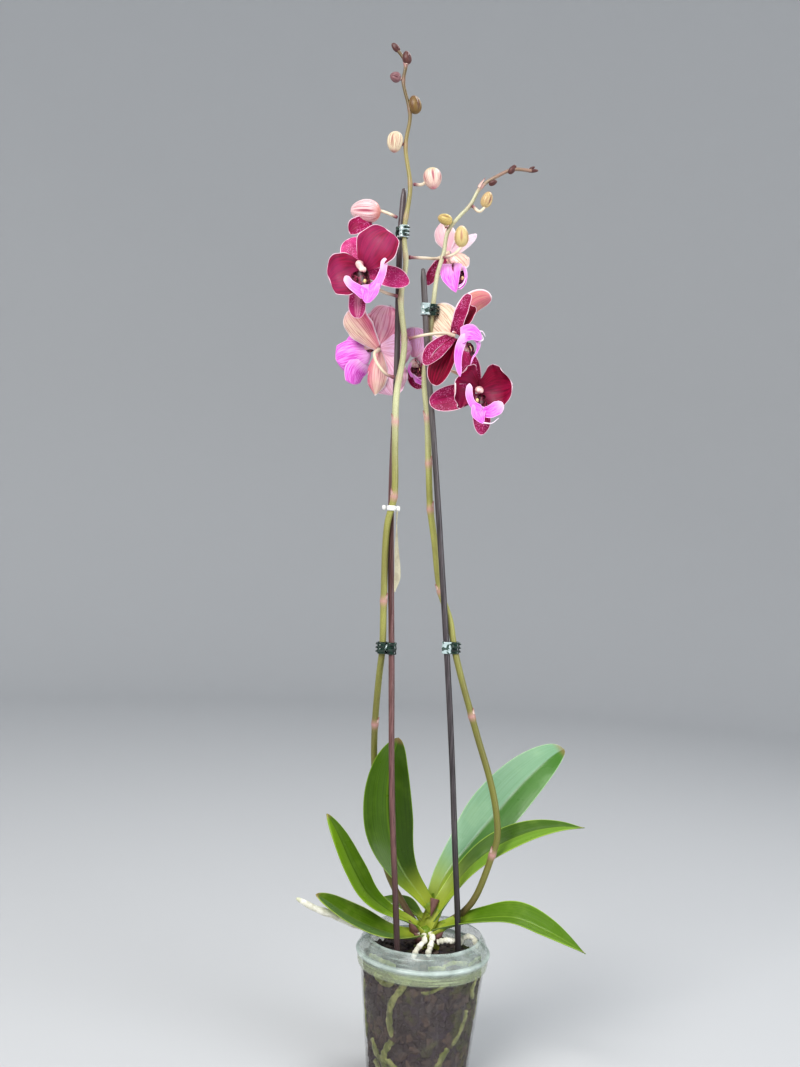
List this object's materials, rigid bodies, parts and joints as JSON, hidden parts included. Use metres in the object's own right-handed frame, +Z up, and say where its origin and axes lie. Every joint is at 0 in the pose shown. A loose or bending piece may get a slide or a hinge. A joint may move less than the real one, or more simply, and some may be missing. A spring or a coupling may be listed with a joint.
{
  "type": "potted moth orchid",
  "caption": "Moth orchid with two tall flower spikes clipped to stakes, strap leaves and aerial roots, in a clear tapered growing pot filled with bark.",
  "frame": {"origin": "middle of the pot's flat bottom, where the pot stands", "axes": "+Z up the plant, +X to the right of the view that shows both spikes side by side, +Y to the back of that view"},
  "size_m": [0.2562, 0.12, 0.9216],
  "materials": {
    "pot_plastic": "clear frosted plastic with a satin collar",
    "bark": "damp dark bark chips",
    "crown": "yellow-green leaf bases with purple-brown sheaths",
    "leaf": "thick waxy green leaf with a lighter midrib",
    "stake_brown": "thin reddish brown stake",
    "stake_grey": "thin purple-grey stake",
    "spike": "olive green flower stem with fine purple speckles",
    "root": "pale velvety root",
    "clip_plastic": "dark green moulded plastic",
    "label_clip_plastic": "white moulded plastic",
    "label_card": "plain cream tag",
    "sepal": "magenta-maroon tepal with pale speckles and a pale striped back",
    "petal": "velvety wine-red petal with a thin white-pink margin",
    "lip": "bright magenta-pink lip with a dark throat",
    "column": "waxy peach-white column",
    "bud": "cream bud with faint pink stripes"
  },
  "bodies": {
    "root": {"bark_mix": "bark", "bud_left_1": "bud", "bud_left_2": "bud", "bud_left_3": "bud", "bud_left_4": "bud", "bud_opening": "bud", "bud_right_1": "bud", "bud_right_2": "bud", "bud_right_3": "bud", "clip_left_lower": "clip_plastic", "clip_left_upper": "clip_plastic", "clip_right_lower": "clip_plastic", "clip_right_upper": "clip_plastic", "flower_centre_back_column": "column", "flower_centre_back_lip": "lip", "flower_centre_back_petals": "petal", "flower_centre_back_sepals": "sepal", "flower_lower_left_column": "column", "flower_lower_left_lip": "lip", "flower_lower_left_petals": "petal", "flower_lower_left_sepals": "sepal", "flower_lower_right_column": "column", "flower_lower_right_lip": "lip", "flower_lower_right_petals": "petal", "flower_lower_right_sepals": "sepal", "flower_middle_right_column": "column", "flower_middle_right_lip": "lip", "flower_middle_right_petals": "petal", "flower_middle_right_sepals": "sepal", "flower_upper_left_column": "column", "flower_upper_left_lip": "lip", "flower_upper_left_petals": "petal", "flower_upper_left_sepals": "sepal", "flower_upper_right_column": "column", "flower_upper_right_lip": "lip", "flower_upper_right_petals": "petal", "flower_upper_right_sepals": "sepal", "label_clip": "label_clip_plastic", "leaf_back_small": "leaf", "leaf_left": "leaf", "leaf_lower_left": "leaf", "leaf_right_large": "leaf", "leaf_right_lower": "leaf", "leaf_right_middle": "leaf", "leaf_upright": "leaf", "nursery_pot": "pot_plastic", "plant_crown": "crown", "plant_label": "label_card", "root_aerial_left": "root", "root_arched_right": "root", "root_front_left": "root", "root_front_middle": "root", "root_in_pot_left": "root", "root_in_pot_low": "root", "root_in_pot_right": "root", "root_surface_right": "root", "spike_left": "spike", "spike_right": "spike", "stake_left": "stake_brown", "stake_right": "stake_grey"}
  },
  "joints": []
}
